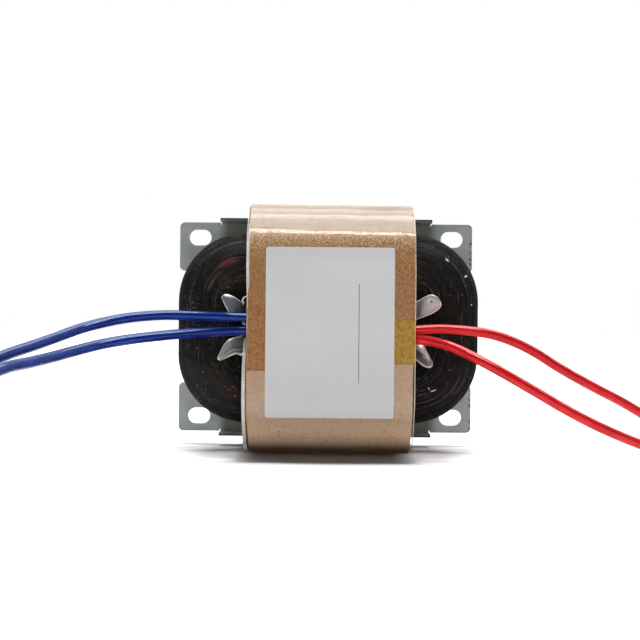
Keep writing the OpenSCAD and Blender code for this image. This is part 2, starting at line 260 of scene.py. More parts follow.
class Solid:
    """Collects points and faces of one piece."""

    def __init__(self):
        self.v, self.f = [], []

    def add(self, verts, faces):
        k = len(self.v)
        self.v += [tuple(v) for v in verts]
        self.f += [[i + k for i in f] for f in faces]

    def prism_x(self, outline, x0, x1):
        """Extrudes an outline of (y, z) along X."""
        n = len(outline)
        turned = outline[1:] + outline[:1]
        if sum(a[0] * b[1] - b[0] * a[1] for a, b in zip(outline, turned)) < 0:
            outline = outline[::-1]
        verts = [(x, y, z) for x in (x0, x1) for y, z in outline]
        faces = [list(range(n))[::-1], list(range(n, 2 * n))]
        faces += [[i, (i + 1) % n, n + (i + 1) % n, n + i] for i in range(n)]
        self.add(verts, faces)

    def tube(self, rings):
        """A tube through rings of points, closed at both ends."""
        n, last = len(rings[0]), len(rings) - 1
        faces = [[i * n + k, (i + 1) * n + k, (i + 1) * n + (k + 1) % n, i * n + (k + 1) % n]
                 for i in range(last) for k in range(n)]
        faces += [list(range(n)), list(range(last * n, (last + 1) * n))[::-1]]
        self.add([p for ring in rings for p in ring], faces)


def slab(outer, inner, closed):
    """Points and faces of a thick sheet between two grids, indexed [along][across]. closed joins its ends."""
    a, b = len(outer), len(outer[0])
    verts = [p for row in outer for p in row] + [p for row in inner for p in row]
    off = a * b
    faces = []
    for i in range(a if closed else a - 1):
        j = (i + 1) % a
        for k in range(b - 1):
            faces.append([i * b + k, i * b + k + 1, j * b + k + 1, j * b + k])
            faces.append([off + i * b + k, off + j * b + k, off + j * b + k + 1, off + i * b + k + 1])
        faces.append([i * b, j * b, off + j * b, off + i * b])
        faces.append([i * b + b - 1, off + i * b + b - 1, off + j * b + b - 1, j * b + b - 1])
    if not closed:
        end = (a - 1) * b
        for k in range(b - 1):
            faces.append([k, off + k, off + k + 1, k + 1])
            faces.append([end + k, end + k + 1, off + end + k + 1, off + end + k])
    return verts, faces


def ring_points(middle, a, b, radius, sides):
    """Points of a circle in the plane of the unit vectors a and b."""
    turns = [2 * math.pi * k / sides for k in range(sides)]
    return [middle + (a * math.cos(t) + b * math.sin(t)) * radius for t in turns]


def modifier(ob, kind, **settings):
    m = ob.modifiers.new(kind.lower(), kind)
    for key, value in settings.items():
        setattr(m, key, value)


def wave(x, y, z, seed=0.0):
    return noise.noise(Vector((x + seed * 13.7, y - seed * 7.1, z + seed * 3.3)))


def smooth(t, a, b):
    """A smooth step from 0 at a to 1 at b."""
    t = min(1.0, max(0.0, (t - a) / (b - a)))
    return t * t * (3 - 2 * t)


# ------ leads
# The insulation in metres, and points along each lead in millimetres
LEAD_D = 0.0028
ROUTES = {
    "blue_lead_upper": [
        (-15.5, -15.5, 40), (-24, -15.5, 40), (-30, -17, 40.1), (-37, -21.5, 40.3),
        (-44.5, -27.5, 40.4), (-52, -35, 39.7), (-58, -41.5, 38.4), (-63, -48.5, 36.7),
        (-67, -56, 34.7), (-71, -64, 32.7), (-75, -73, 30.7), (-79, -81, 28.2), (-83.5, -88, 24.2),
        (-88.5, -93.5, 19), (-94, -98, 12.5), (-100, -101, 6.5), (-107, -103, 2.4),
        (-115, -103.5, 1.4), (-123, -102, 1.4), (-130, -98, 1.4)],
    "blue_lead_lower": [
        (-15.5, -15.5, 36.3), (-24, -15.5, 36.3), (-30, -18.5, 36), (-36.5, -24, 35.6),
        (-43.5, -31.5, 34.9), (-51, -39.5, 34), (-57.5, -47, 32.8), (-62.5, -55, 31.3),
        (-66.5, -63.5, 29.9), (-69.5, -73, 28.9), (-72.5, -83, 28), (-76, -92, 25.6),
        (-80, -99.5, 21.3), (-85, -105.5, 15.5), (-91, -110, 9), (-98, -113, 4),
        (-106, -114, 1.6), (-114, -113.5, 1.4), (-122, -111, 1.4)],
    "red_lead_upper": [
        (17, -14.9, 36.8), (25, -14.9, 36.8), (33, -15, 37.2), (41, -15.5, 36.7),
        (48, -15.5, 35.6), (54.5, -15.5, 33.4), (60.5, -15.2, 30.4), (66.5, -14.6, 26.7),
        (73, -13.4, 23.1), (79.5, -11.6, 19.8), (86.5, -9, 16.4), (94, -6.5, 12.3),
        (101.5, -5, 7.9), (109, -5, 4), (117, -7, 1.9), (124, -11, 1.4),
        (129.5, -17.5, 1.4), (132.5, -25.5, 1.4), (133, -34, 1.4), (131.5, -42, 1.4),
        (128.5, -49.5, 1.4)],
    "red_lead_lower": [
        (17, -16.4, 34.2), (24, -16.4, 34.2), (29, -18.5, 33.8), (34.5, -23, 32.5),
        (41.5, -28, 29.2), (49, -30.5, 25.1), (57, -31.5, 20.5), (65, -31.5, 15.9),
        (73, -29.5, 11.8), (81, -26, 8.3), (89, -22, 5.2), (97, -19.5, 2.6),
        (105, -20, 1.4), (112, -24, 1.4), (117, -30.5, 1.4), (119.5, -38.5, 1.4),
        (120, -47, 1.4), (118.5, -55.5, 1.4), (115, -63, 1.4), (110, -69.5, 1.4)],
}


def pvc(name, dark, light, gleam):
    s = Shade(name, dark, rough=0.3, spec=0.56)
    s.to("Specular Tint", gleam)
    s.paint(s.span(s.noise(0.12, 2), 0.35, 0.7), light)
    s.rough(s.noise(0.7, 2), 0.07, 0.15)
    s.bump(s.noise(0.30, 1), 0.035, 0.6)
    # Small nicks and dust
    s.bump(s.span(s.cells(0.7), 0.22, 0.08), -0.05, 0.7)
    return s


insulation = {
    "blue": pvc("blue_pvc", (0.002, 0.013, 0.155), (0.004, 0.025, 0.24), (0.56, 0.80, 1.0)),
    "red": pvc("red_pvc", (0.58, 0.007, 0.011), (0.69, 0.014, 0.020), (1.0, 0.72, 0.70)),
}

# From here on, s is the material that is being made
s = tinned = Shade("tinned_copper", (0.68, 0.67, 0.66), rough=0.3, metal=1.0)
s.paint(s.span(s.noise(3, 4), 0.45, 0.7), (0.42, 0.33, 0.26))
s.rough(s.noise(6), 0.2, 0.45)
s.bump(s.noise(8), 0.03)

STRAND_L, STRAND_R = 5.9, 0.165
# Distance of the outer strands from the middle one, and how far the strands reach back into the insulation
LAY_R, STRAND_IN = 0.32, 0.6
LAY_TURNS = 1.1


def strand_tip(name, start, heading, replaced):
    """Seven twisted tinned strands that stick out of the insulation."""
    d = Vector(heading).normalized()
    side = d.cross(Vector((0, 0, 1))).normalized()
    up = side.cross(d)
    s = Solid()
    rings = 26
    for n in range(7):
        r = 0 if n == 6 else LAY_R
        end = STRAND_L - 0.25 * rng.random()
        strand = []
        for i in range(rings):
            t = i / (rings - 1)
            a = n * math.pi / 3 + 2 * math.pi * LAY_TURNS * t
            c = Vector(start) + d * (-STRAND_IN + t * (end + STRAND_IN))
            c += (side * math.cos(a) + up * math.sin(a)) * r
            strand.append(ring_points(c, side, up, STRAND_R, 8))
        s.tube(strand)
    return piece(name, s.v, s.f, tinned, replaced, sharp=50)


def wire_curve(name, route):
    """A round curve through the points of the route."""
    curve = bpy.data.curves.new(name, "CURVE")
    curve.dimensions = "3D"
    curve.bevel_depth = LEAD_D / 2
    curve.bevel_resolution = 6
    curve.resolution_u = 10
    curve.use_fill_caps = True
    knots = curve.splines.new("BEZIER").bezier_points
    knots.add(len(route) - 1)
    points = [Vector(p) for p in route]
    for i, knot in enumerate(knots):
        before, here, after = points[max(0, i - 1)], points[i], points[min(len(points) - 1, i + 1)]
        step = (after - before).normalized()
        left = here - step * (here - before).length / 3
        right = here + step * (after - here).length / 3
        # A lead that lies on the floor doesn't dip into it
        left.z, right.z = max(left.z, LEAD_D / 2 / MM), max(right.z, LEAD_D / 2 / MM)
        knot.handle_left_type = knot.handle_right_type = "FREE"
        knot.co, knot.handle_left, knot.handle_right = here * MM, left * MM, right * MM
    return curve


for name, route in ROUTES.items():
    color = name.split("_")[0]
    ob = add_piece(name + "_wire", wire_curve(name + "_wire", route), insulation[color], [name])
    tip = name.replace("_lead_", "_tip_")
    strands = strand_tip(tip + "_strands", route[-1], Vector(route[-1]) - Vector(route[-2]), [tip])

# ------ core
s = steel = Shade("core_varnish", (0.0075, 0.0072, 0.0078), spec=0.07, slot="core_steel")
# The map's first coordinate runs along the strip and its second is the place across the turns
level_in = s.axes(s.at(kind="UV"))[1]
streaks = s.noise(1, 3, 0.65, 0.2, stretch=(0.04, 1.9, 1), kind="UV")
fine = s.noise(1, 2, 0.6, 0.15, (5, 3, 0), (0.07, 4.0, 1), "UV")
rust_lines = s.noise(1, 3, 0.6, 0.4, (9, 1, 0), (0.10, 4.4, 1), "UV")
# The outermost turns, and a run of varnish at the lower left, are smooth and bare of lines
outer_band = s.span(level_in, CORE_R - 3.1, CORE_R - 2.3)
slant = s.sum(s.z, s.both(s.x, 0.38))
run = s.both(s.fall(slant, C[2] - 24.6, C[2] - 24.0), s.fall(s.x, C[0] - 29, C[0] - 26))
bare = s.less(1.0, s.any(outer_band, s.both(run, 0.8)))
busy = s.span(s.noise(0.11, 2), 0.36, 0.60, 0.35, 1.0)
broken = s.span(s.noise(1.1, 3, 0.7, move=(9, 9, 1)), 0.42, 0.60)
s.paint(s.span(s.noise(0.35, move=(2, 2, 8)), 0.35, 0.65), (0.014, 0.012, 0.0095))
s.paint(run, (0.021, 0.020, 0.025), 0.55)
# Grey and bright lines along the turns are the turns' edges; the bright ones are painted reflections of the
# lamps
s.paint(s.both(s.span(streaks, 0.56, 0.68), bare, busy, 0.85), (0.075, 0.068, 0.063))
s.paint(s.both(s.span(fine, 0.60, 0.70), broken, bare, busy, 0.8), (0.20, 0.185, 0.175))
s.paint(s.both(s.span(fine, 0.46, 0.34), bare, 0.9), (0.0015, 0.0015, 0.0015))
# Rusty, golden and olive places where the varnish is thin
rust = s.both(s.spot(-29.4, 18.9, 1.15, 0.8, 2.6, 0.42), s.span(rust_lines, 0.46, 0.60))
s.paint(s.both(rust, s.span(fine, 0.40, 0.56, 0.15, 0.8)), (0.27, 0.070, 0.060))
crumbs = s.span(s.noise(2.2, 3, 0.7, move=(6, 1, 2)), 0.50, 0.62)
s.paint(s.both(s.spot(-29.0, -18.2, 1.6, 1.3, 2.2, -0.45), crumbs, 0.7), (0.16, 0.060, 0.036))
gold = s.both(s.spot(-33.4, 14.2, 1.1, 0.8, 3.4, 0.95), s.span(fine, 0.50, 0.62))
s.paint(gold, (0.17, 0.145, 0.10), 0.55)
olive = s.any(s.spot(-33, 5, 3.0, 2.0), s.spot(-32.5, -12.5, 3.0, 2.0), s.spot(-29, 13, 3.5, 2.5))
s.paint(s.both(olive, s.span(s.noise(0.9, 4), 0.42, 0.62), 0.7), (0.036, 0.031, 0.011))
# Dust, chips and a few bright flakes
grit = s.both(s.span(s.cells(1.5, (4, 2, 9)), 0.20, 0.10),
              s.span(s.noise(0.16, 3, 0.6, move=(7, 2, 3)), 0.54, 0.62))
s.paint(grit, (0.30, 0.30, 0.29), 0.75)
dust = s.both(s.span(s.cells(0.5), 0.10, 0.05), s.span(s.noise(0.25, move=(4, 2, 9)), 0.44, 0.56))
s.paint(dust, (0.38, 0.37, 0.36), 0.8)
FLAKES = ((40.3, 15.6, 0.30, 0.12, 1.6, 0.6), (42.0, 7.2, 0.22, 0.1), (34.6, 20.3, 0.28, 0.15, 2.2, -0.7),
          (30.7, -17.9, 0.16, 0.1, 4.5, 0.3), (29.4, -17.3, 0.14, 0.1, 2.5, -0.9))
s.paint(s.any(*[s.spot(*flake) for flake in FLAKES]), (0.72, 0.72, 0.70))
rough = s.span(s.noise(0.4, 4), 0.35, 0.65, 0.34, 0.58)
s.to("Roughness", s.sum(rough, s.both(outer_band, 0.40)))
s.bump(s.both(streaks, bare), 0.10, 0.8)
s.bump(s.both(fine, bare), 0.06, 0.8)
s.bump(s.noise(1.2, 4), 0.08, 0.5)
s.bump(run, 0.25, 0.8)

# Radius of the centreline's corners, and the number of steps in each side and corner
BEND_R = 10.5
SIDE_STEPS, CORNER_STEPS = (12, 34), 26


def core_path():
    """Points of the core's centreline as (x, z, outward x, outward z, arc length)."""
    ax, az = (CORE_L - CORE_D) / 2 - BEND_R, PITCH / 2 - BEND_R
    wide, high = ax + BEND_R, az + BEND_R
    sides = (((wide, -az), (wide, az), (1, 0)), ((ax, high), (-ax, high), (0, 1)),
             ((-wide, az), (-wide, -az), (-1, 0)), ((-ax, -high), (ax, -high), (0, -1)))
    points = []
    for turn, (p, q, out) in enumerate(sides):
        steps = SIDE_STEPS[turn % 2]
        for i in range(steps):
            t = i / steps
            points.append((p[0] + (q[0] - p[0]) * t, p[1] + (q[1] - p[1]) * t, *out))
        cx, cz = q[0] - BEND_R * out[0], q[1] - BEND_R * out[1]
        for i in range(CORNER_STEPS):
            a = math.radians(90 * turn + 90 * i / CORNER_STEPS)
            points.append((cx + BEND_R * math.cos(a), cz + BEND_R * math.sin(a), math.cos(a), math.sin(a)))
    path, s = [], 0.0
    for i, p in enumerate(points):
        s += math.dist(p[:2], points[i - 1][:2]) if i else 0.0
        path.append((*p, s))
    return path


def core_section():
    """Points round the section as (angle, turn, groove depth), with a groove between every two turns."""
    edges, u = [], -CORE_R
    while u < CORE_R - 0.3:
        edges.append(u)
        u += rng.uniform(0.42, 0.86)
    edges.append(CORE_R)
    # The outermost turns are varnished over, and their grooves are shallow
    groove = [rng.choice((0.05, 0.08, 0.12, 0.17)) * (0.35 if e > 7 else 1) for e in edges[1:-1]]
    groove = [0.0, *groove, 0.0]
    marks = []
    turns = range(len(edges) - 1)
    for side, steps in ((1, [(k, k, k + 1) for k in turns]), (-1, [(k, k + 1, k) for k in turns[::-1]])):
        for k, a, b in steps:
            start, end = math.acos(edges[a] / CORE_R), math.acos(edges[b] / CORE_R)
            marks.append((side * start, k, groove[a]))
            inner = max(1, int(abs(end - start) / 0.12))
            for i in range(inner + 1):
                t = 0.16 + 0.68 * i / inner
                marks.append((side * (start + (end - start) * t), k, 0.0))
    return marks, len(edges) - 1


section, turns = core_section()
# How far each turn lies below the section's circle. The last four lie level
level = [rng.uniform(0.0, 0.07) for _ in range(turns)]
level[-4:] = [0.0] * 4
path = core_path()
verts = []
for x, z, ox, oz, along in path:
    for angle, k, depth in section:
        wob = 0.05 * wave(k * 3.1, along * 0.035, 0.0, 1) + 0.02 * wave(k * 5.3, along * 0.2, 0.0, 2)
        r = min(CORE_R - level[k] + wob - depth, CORE_R + 0.02)
        u = r * math.cos(angle)
        verts.append((C[0] + x + ox * u, C[1] - r * math.sin(angle), C[2] + z + oz * u))
arc = [p[4] for p in path] + [path[-1][4] + math.dist(path[-1][:2], path[0][:2])]
# The two halves of the section lie 30 mm apart on the map, so that their lines differ
across = [(CORE_R * math.cos(a), 0.0 if a > 0 else 30.0) for a, _, _ in section]
faces, uvs = [], []
rows, n = len(path), len(section)
for i in range(rows):
    j = (i + 1) % rows
    for k in range(n):
        m = (k + 1) % n
        faces.append([i * n + k, j * n + k, j * n + m, i * n + m])
        half = min(across[k][1], across[m][1])
        v0, v1 = (across[k][0] + half) / 10, (across[m][0] + half) / 10
        u0, u1 = arc[i] / 10, arc[i + 1] / 10
        uvs += [(u0, v0), (u1, v0), (u1, v1), (u0, v1)]
piece("wound_core", verts, faces, steel, ["core"], sharp=None, uv=uvs)

# ------ belt
FRONT_STEPS, ARC_STEPS = 23, 44


def belt_profile(r):
    """Points round the belt as (y, z, outward y, outward z), from the middle of the front, going up."""
    h = PITCH / 2
    points = [(-r, h * i / FRONT_STEPS, -1, 0) for i in range(FRONT_STEPS + 1)]
    for i in range(1, ARC_STEPS + 1):
        a = math.pi - math.pi * i / ARC_STEPS
        points.append((r * math.cos(a), h + r * math.sin(a), math.cos(a), math.sin(a)))
    # The back has a row on each side of the strap's edges
    points += [(r, z, 1, 0) for z in (12, 8, 5.62, 5.58, 2.8, 0, -2.8, -5.58, -5.62, -8, -12)]
    for i in range(ARC_STEPS + 1):
        a = -math.pi * i / ARC_STEPS
        points.append((r * math.cos(a), -h + r * math.sin(a), math.cos(a), math.sin(a)))
    return points + [(-r, -h + h * i / FRONT_STEPS, -1, 0) for i in range(1, FRONT_STEPS)]


def beside_strap(right, y, z):
    """Stops the belt's right edge short of the strap, which lies on the back of the coils."""
    return min(right, STRAP_IN - 0.12) if y > 10 and abs(z) < STRAP_HALF_W + 0.1 else right


def paper_edges(y, z):
    """Left and right edge of the paper at a place on the belt, from the middle of the core."""
    front = y < -6
    left = PAPER_L + (0.45 * smooth(z, 9, 12) if front else 0.35) + 0.12 * wave(z * 0.2, y * 0.2, 0, 3)
    left += 0.25 * smooth(-z, 22, 32)
    right = PAPER_R + (0.25 if front else 0.0) - 0.65 * smooth(-z, 2, 14) * (1 if front else 0.4)
    right += 0.10 * wave(z * 0.25, y * 0.2, 0, 4)
    return max(left, PAPER_L), beside_strap(right, y, z)


def film_edges(y, z):
    """Left and right edge of the film, which stands proud of the paper on the right."""
    right = FILM_R + 0.10 * wave(z * 0.12, y * 0.2, 0, 5) - 0.1
    return paper_edges(y, z)[0] - 0.04, beside_strap(right, y, z)


def belt_skin(name, r, thick, edges, mat, replaced, across, seam):
    """A sheet round the belt. With seam it is closed and has the glued overlap underneath."""
    prof = belt_profile(r)
    if not seam:
        # The film stops on both sides of the glued overlap
        prof = [p for p in prof if not (p[1] < -PITCH / 2 and abs(p[0]) < SEAM_W / 2 + 0.05)]
        low = min(range(len(prof)), key=lambda i: (prof[i][1], prof[i][0]))
        prof = prof[low:] + prof[:low]
    outer, inner = [], []
    for y, z, ny, nz in prof:
        left, right = edges(y, z)
        row_out, row_in = [], []
        for k in range(across + 1):
            x = left + (right - left) * k / across
            dent = -0.035 + 0.035 * wave(x * 0.09, y * 0.07, z * 0.07, 6)
            z_out = z
            if seam and z < -PITCH / 2 and abs(y) < SEAM_W / 2:
                flat = smooth(SEAM_W / 2 - abs(y), 0.0, 0.5)
                z_out = z + (-(FILM_OUT + PITCH / 2) - z) * flat
                dent *= 1 - flat
            deep = dent - thick
            row_out.append((C[0] + x, C[1] + y + ny * dent, C[2] + z_out + nz * dent))
            row_in.append((C[0] + x, C[1] + y + ny * deep, C[2] + z + nz * deep))
        outer.append(row_out)
        inner.append(row_in)
    v, f = slab(outer, inner, closed=seam)
    # The map's first coordinate is the distance from the nearer edge
    shares = [min(k, across - k) / across / 10 for k in range(across + 1)]
    near = [share * (row[-1][0] - row[0][0]) for row in outer + outer for share in shares]
    uv = [(near[i], v[i][2] / 10) for face in f for i in face]
    return piece(name, v, f, mat, replaced, sharp=55, uv=uv)


s = kraft = Shade("kraft_paper", (0.310, 0.130, 0.034), rough=0.62, spec=0.35)
height = s.z
speck = s.noise(2.6, 3, 0.7)
fibre = s.noise(1.5, 3, 0.6, 0.4, (2, 8, 1), (1, 1.3, 1.3))
calm = s.span(height, 31, 38, 0.42, 1.0)
s.paint(s.span(s.noise(1.0, 4, 0.6, move=(7, 3, 5)), 0.34, 0.66), (0.450, 0.218, 0.070))
s.paint(s.both(s.span(speck, 0.5, 0.40), 0.55, calm), (0.165, 0.064, 0.018))
s.paint(s.both(s.span(fibre, 0.56, 0.68), 0.45, calm), (0.64, 0.40, 0.19))
# Near the top the paper is painted paler in specks: its grain, with painted light where the upper bend faces
# the lamps
grain_and_top_light = s.span(s.noise(2.2, 2, move=(1, 4, 4)), 0.46, 0.60)
s.paint(s.both(grain_and_top_light, s.span(height, 54, 62), 0.60), (0.86, 0.58, 0.25))
# The paper over the top is painted darker, with its grain: painted shade that holds down the light on the top
dark = s.sum(s.span(height, 64.6, 66.8, 0.0, 0.46), s.span(height, 67.5, 70.5, 0.0, 0.26))
s.paint(s.both(dark, s.span(speck, 0.42, 0.58, 1.5, 0.5)), (0.09, 0.045, 0.020))
# Round the lower bend, at the front, the paper is painted pale: painted light from the table below
painted_bend_light = s.both(s.fall(height, 5.8, 11.8), s.span(height, 1.6, 4.6, 0.1, 1.0))
s.paint(s.both(painted_bend_light, s.fall(s.y, -10, -5), 0.94), (1.0, 0.66, 0.40))
# Below the lead tapes, and most round the lower bend, the paper is painted paler: partly the haze of the
# loose film over it, partly painted light from the table below
haze = s.sum(s.span(height, 33, 38, 0.26, 0.0), s.span(height, 8, 24, 0.10, 0.0))
s.paint(s.both(haze, s.span(height, 1.4, 4.8, 0.4, 1.0)), (0.89, 0.79, 0.665))
# Small blisters and grain show there too
blister = s.both(s.span(s.cells(0.20), 0.11, 0.05), s.fall(height, 12, 24))
s.paint(blister, (0.20, 0.10, 0.05), 0.45)
grain = s.span(s.noise(1.5, 3, 0.6, move=(5, 2, 9)), 0.5, 0.38)
s.paint(s.both(grain, s.fall(height, 11, 19), 0.30), (0.36, 0.18, 0.09))
s.bump(s.both(speck, calm), 0.07, 0.9)
s.bump(s.both(fibre, calm), 0.06, 0.6)
belt_skin("kraft_belt", PAPER_OUT, PAPER_T, paper_edges, kraft, ["paper_wrap"], across=44, seam=True)

s = film = Shade("clear_film", (0.9, 0.9, 0.9))
s.bump(s.noise(0.16, 2, stretch=(0.35, 1, 1)), 0.06)
soft_normal = s.normal
s.bump(s.noise(0.55, 2, move=(3, 1, 6), stretch=(0.25, 1, 1)), 0.016)
# The upper bend is a little twisted, which slants its bright bands, and has a wrinkle at the right
twist = s.both(s.x, s.less(s.z, 60.0), s.span(s.z, 45, 62, 0.0, -0.0011))
fold = s.both(s.spot(17.0, 35.6, 1.6, 1.2, 4.0), s.noise(0.55, 2, move=(2, 7, 1), stretch=(0.5, 1, 2.5)))
s.bump(s.sum(twist, s.both(fold, 0.35)), 1.0)
gloss, sheen = [s.node("BsdfAnisotropic", {"Roughness": rough, "Color": color, "Normal": normal}).outputs[0]
                for rough, color, normal in ((0.11, (1.0, 0.985, 0.965), s.normal),
                                             (0.42, (1.0, 0.975, 0.92), soft_normal))]
clear = s.node("BsdfTransparent", {"Color": (0.985, 0.98, 0.97)}).outputs[0]
fresnel = s.node("Fresnel", {"IOR": 1.62, "Normal": s.normal}).outputs[0]
# It lies slack along a line, and the paper's grain shows through its shine round the upper bend
slack = s.both(s.spot(16.6, 35.1, 0.75, 0.30, 9.5, 0.01), 0.42)
grit = s.both(s.span(s.noise(1.9, 3, 0.6), 0.50, 0.60), s.span(s.z, 60, 63))
slack = s.any(slack, s.both(grit, s.span(s.z, 67.5, 70, 0.28, 0.10)))
# Only the outer face reflects
outer_face = s.less(1.0, s.node("NewGeometry").outputs["Backfacing"])
shine = s.both(fresnel, s.less(1.0, slack), outer_face)
skin = s.layer(shine, clear, s.layer(0.55, gloss, sheen))
# The cut edges of the film are milky
milk = s.node("BsdfDiffuse", {"Color": (0.84, 0.74, 0.61)}).outputs[0]
rim = s.span(s.axes(s.maps["UV"])[0], 0.010, 0.032, 0.75, 0.0)
rim = s.both(rim, s.any(s.band(s.z, 32, 38, 65.5, 68), s.span(s.x, 0, 5)))
s.show(s.layer(rim, skin, milk))
belt_skin("film_belt", FILM_OUT, FILM_T, film_edges, film, ["film_wrap"], across=40, seam=False)


# ------ label and lead tapes
def front_sheet(name, node, mat, thick, nx, nz, radius=0.0, wobble=0.0, trim_l=0.0, trim_r=0.0):
    """A sheet on the front of the belt, as large as its CAD node, with rounded corners or uneven edges."""
    (x0, _, z0), (x1, _, z1) = [corner - C for corner in box_mm(node)]
    x0, x1 = x0 + trim_l, x1 - trim_r
    h = PITCH / 2
    levels = [i / nz for i in range(nz + 1)]
    if radius:
        near = [radius * (1 - math.cos(math.radians(a))) / (z1 - z0) for a in range(0, 91, 15)]
        levels = sorted(near + [1 - t for t in near] + [t for t in levels if near[-1] < t < 1 - near[-1]])
    outer, inner = [], []
    for i, tz in enumerate(levels):
        row_out, row_in = [], []
        flat_z = z0 + (z1 - z0) * tz
        # Pulls the grid's corners in to a quarter circle
        into = max(0.0, radius - min(flat_z - z0, z1 - flat_z))
        inset = radius - math.sqrt(max(0.0, radius ** 2 - into ** 2))
        for k in range(nx + 1):
            x = x0 + inset + (x1 - x0 - 2 * inset) * k / nx
            x += wobble * wave(flat_z * 0.5, 0, 0, 8) if k in (0, nx) else 0
            z = flat_z + (wobble * wave(x * 0.6, 0, 0, 9) if i in (0, nz) else 0)
            dent = -0.02 + 0.03 * wave(x * 0.08, z * 0.08, 0, 10)
            for row, r in ((row_out, FILM_OUT + thick + dent), (row_in, FILM_OUT + dent)):
                # Above and below the flat part it follows the belt's bend
                a = math.asin(min(1.0, max(0.0, abs(z) - h) / r))
                bent = math.copysign(h + r * math.sin(a), z) if abs(z) > h else z
                row.append((C[0] + x, C[1] - r * math.cos(a), C[2] + bent))
        outer.append(row_out)
        inner.append(row_in)
    v, f = slab(outer, inner, closed=False)
    return piece(name, v, f, mat, [node], sharp=40)


s = label = Shade("label_stock", (0.615, 0.618, 0.625), rough=0.45, spec=0.35)
s.paint(s.span(s.noise(0.06, 2), 0.3, 0.7), (0.640, 0.642, 0.645))
# Painted light: the label is painted lighter towards its top and towards its bottom
s.paint(s.span(s.z, 53, 61), (0.70, 0.70, 0.695))
s.paint(s.fall(s.z, 12, 20), (0.665, 0.665, 0.66))
# The thin rule line
rule = s.both(s.fall(s.off(s.x, C[0] + 8.6), 0.10, 0.16), s.fall(s.off(s.z, C[2] - 1.4), 14.0, 14.1))
s.paint(rule, (0.06, 0.06, 0.07), 0.75)
s.rough(s.noise(2.5), 0.38, 0.5)
s.bump(s.noise(4, 4), 0.012, 0.6)
s.bump(s.noise(0.12, 2), 0.15, 0.5)
front_sheet("label_sheet", "label", label, 0.12, 30, 48, radius=0.6)

s = brown = Shade("brown_tape", (0.265, 0.115, 0.036), spec=0.25)
crepe = s.noise(1.6, 4, 0.6)
s.paint(s.span(crepe, 0.35, 0.65), (0.405, 0.196, 0.074))
s.paint(s.span(s.noise(2.6), 0.4, 0.3), (0.12, 0.05, 0.02), 0.6)
s.rough(crepe, 0.3, 0.5)
s.bump(crepe, 0.05, 0.7)
front_sheet("brown_patch", "blue_lead_tape", brown, 0.04, 10, 24, wobble=0.12, trim_l=0.15)

s = amber = Shade("yellow_tape", (0.310, 0.168, 0.024), spec=0.25)
folds, speck = s.noise(0.9, 4, 0.6), s.noise(2.4, 3, 0.6, move=(5, 5, 5))
s.paint(s.span(folds, 0.35, 0.65), (0.445, 0.268, 0.046))
s.paint(s.span(speck, 0.42, 0.3), (0.18, 0.085, 0.015), 0.7)
s.rough(speck, 0.22, 0.42)
s.bump(folds, 0.06, 0.7)
front_sheet("yellow_patch", "red_lead_tape", amber, 0.04, 10, 20, wobble=0.10, trim_r=0.25)

# ------ bobbins
s = plastic = Shade("bobbin_plastic", (0.88, 0.86, 0.81), rough=0.42, spec=0.45)
s.to("Subsurface Weight", 0.15)
s.to("Subsurface Radius", (0.002, 0.0015, 0.001))
s.paint(s.span(s.noise(0.3, 4), 0.35, 0.7), (0.76, 0.73, 0.66))
# Fine ribs run across the rims of the lower flanges, with painted shade in their grooves
ribs_and_groove_shade = s.both(s.span(s.ripples(s.z, 0.64), -0.2, 0.8), s.fall(s.y, -10, -7), s.fall(s.z, 26, 32))
s.paint(ribs_and_groove_shade, (0.40, 0.38, 0.32), 0.42)
s.bump(ribs_and_groove_shade, -0.06, 0.8)
s.bump(s.noise(3.5), 0.02, 0.5)

TUBE_IN, TUBE_OUT, FLANGE_T = CORE_R + 0.3, CORE_R + 1.3, 1.0
# Half the gap between the upper and the lower flanges, across the window
WINDOW_HALF = 6.8
# Shallow teeth on the rims of the flanges
TEETH, TOOTH_STEPS, TOOTH_DEPTH = 132, 4, 0.16
# How far the front flanges reach forward of the core's middle at the window
HORN = 8.7


